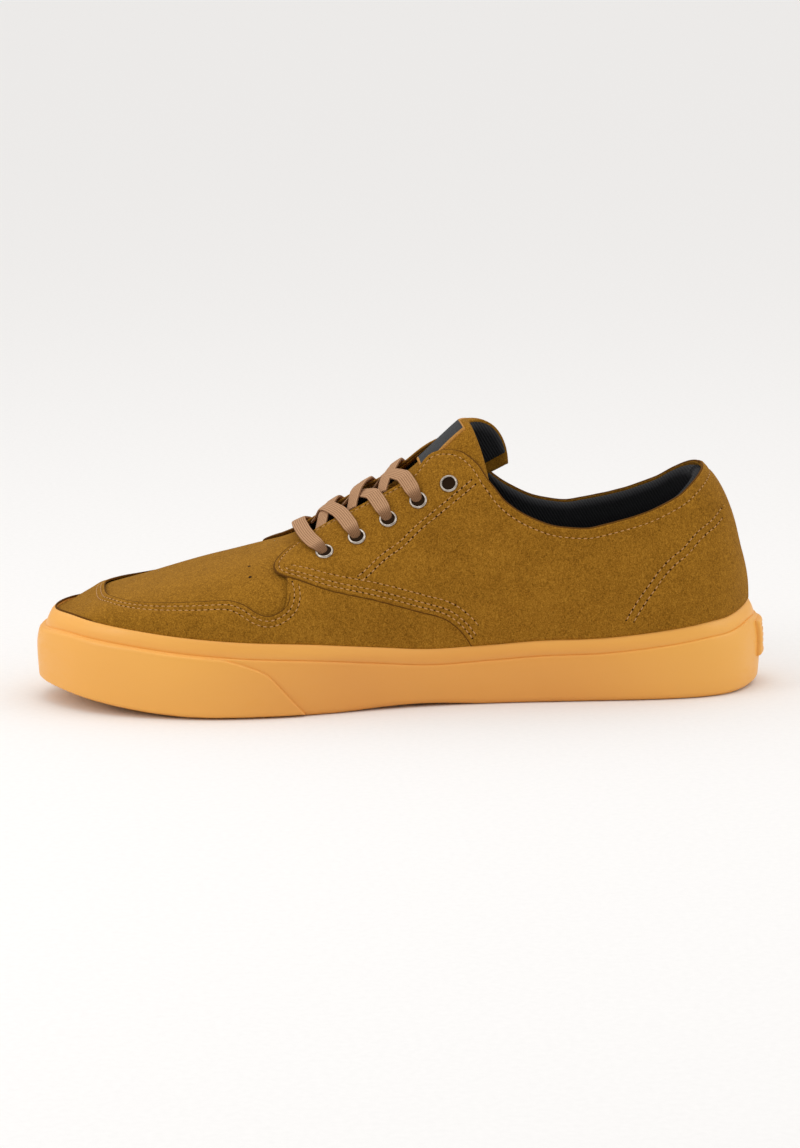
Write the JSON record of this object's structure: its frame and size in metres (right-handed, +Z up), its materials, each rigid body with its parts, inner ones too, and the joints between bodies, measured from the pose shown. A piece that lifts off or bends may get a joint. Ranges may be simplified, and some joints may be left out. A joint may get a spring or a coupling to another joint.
{
  "type": "skateboarding shoe",
  "caption": "Low-cut suede skateboarding shoe with a gum rubber cup sole, a padded tongue under flat laces and metal eyelets.",
  "frame": {"origin": "on the ground, at the middle of the shoe's length and width", "axes": "-X towards the toe, +X towards the heel, -Y towards the inner side of the foot, +Z up"},
  "size_m": [0.3046, 0.1121, 0.1117],
  "materials": {
    "gum_rubber": "matt natural gum rubber with a soft sheen",
    "suede": "brushed suede nap",
    "dark_cloth": "ribbed padded lining cloth",
    "woven_label": "plain woven patch",
    "lace_cotton": "flat woven cotton",
    "eyelet_metal": "antique satin metal"
  },
  "bodies": {
    "root": {"outsole": "gum_rubber", "toe_bumper": "gum_rubber", "heel_patch": "gum_rubber", "insole": "dark_cloth", "upper": "suede", "toe_overlay": "suede", "quarter": "suede", "collar_lining": "dark_cloth", "tongue": "suede", "tongue_label": "woven_label", "eyelet_medial_1": "eyelet_metal", "eyelet_medial_2": "eyelet_metal", "eyelet_medial_3": "eyelet_metal", "eyelet_medial_4": "eyelet_metal", "eyelet_medial_5": "eyelet_metal", "eyelet_lateral_1": "eyelet_metal", "eyelet_lateral_2": "eyelet_metal", "eyelet_lateral_3": "eyelet_metal", "eyelet_lateral_4": "eyelet_metal", "eyelet_lateral_5": "eyelet_metal", "lace_bar": "lace_cotton", "lace_crossing_1": "lace_cotton", "lace_crossing_2": "lace_cotton", "lace_crossing_3": "lace_cotton"}
  },
  "joints": []
}
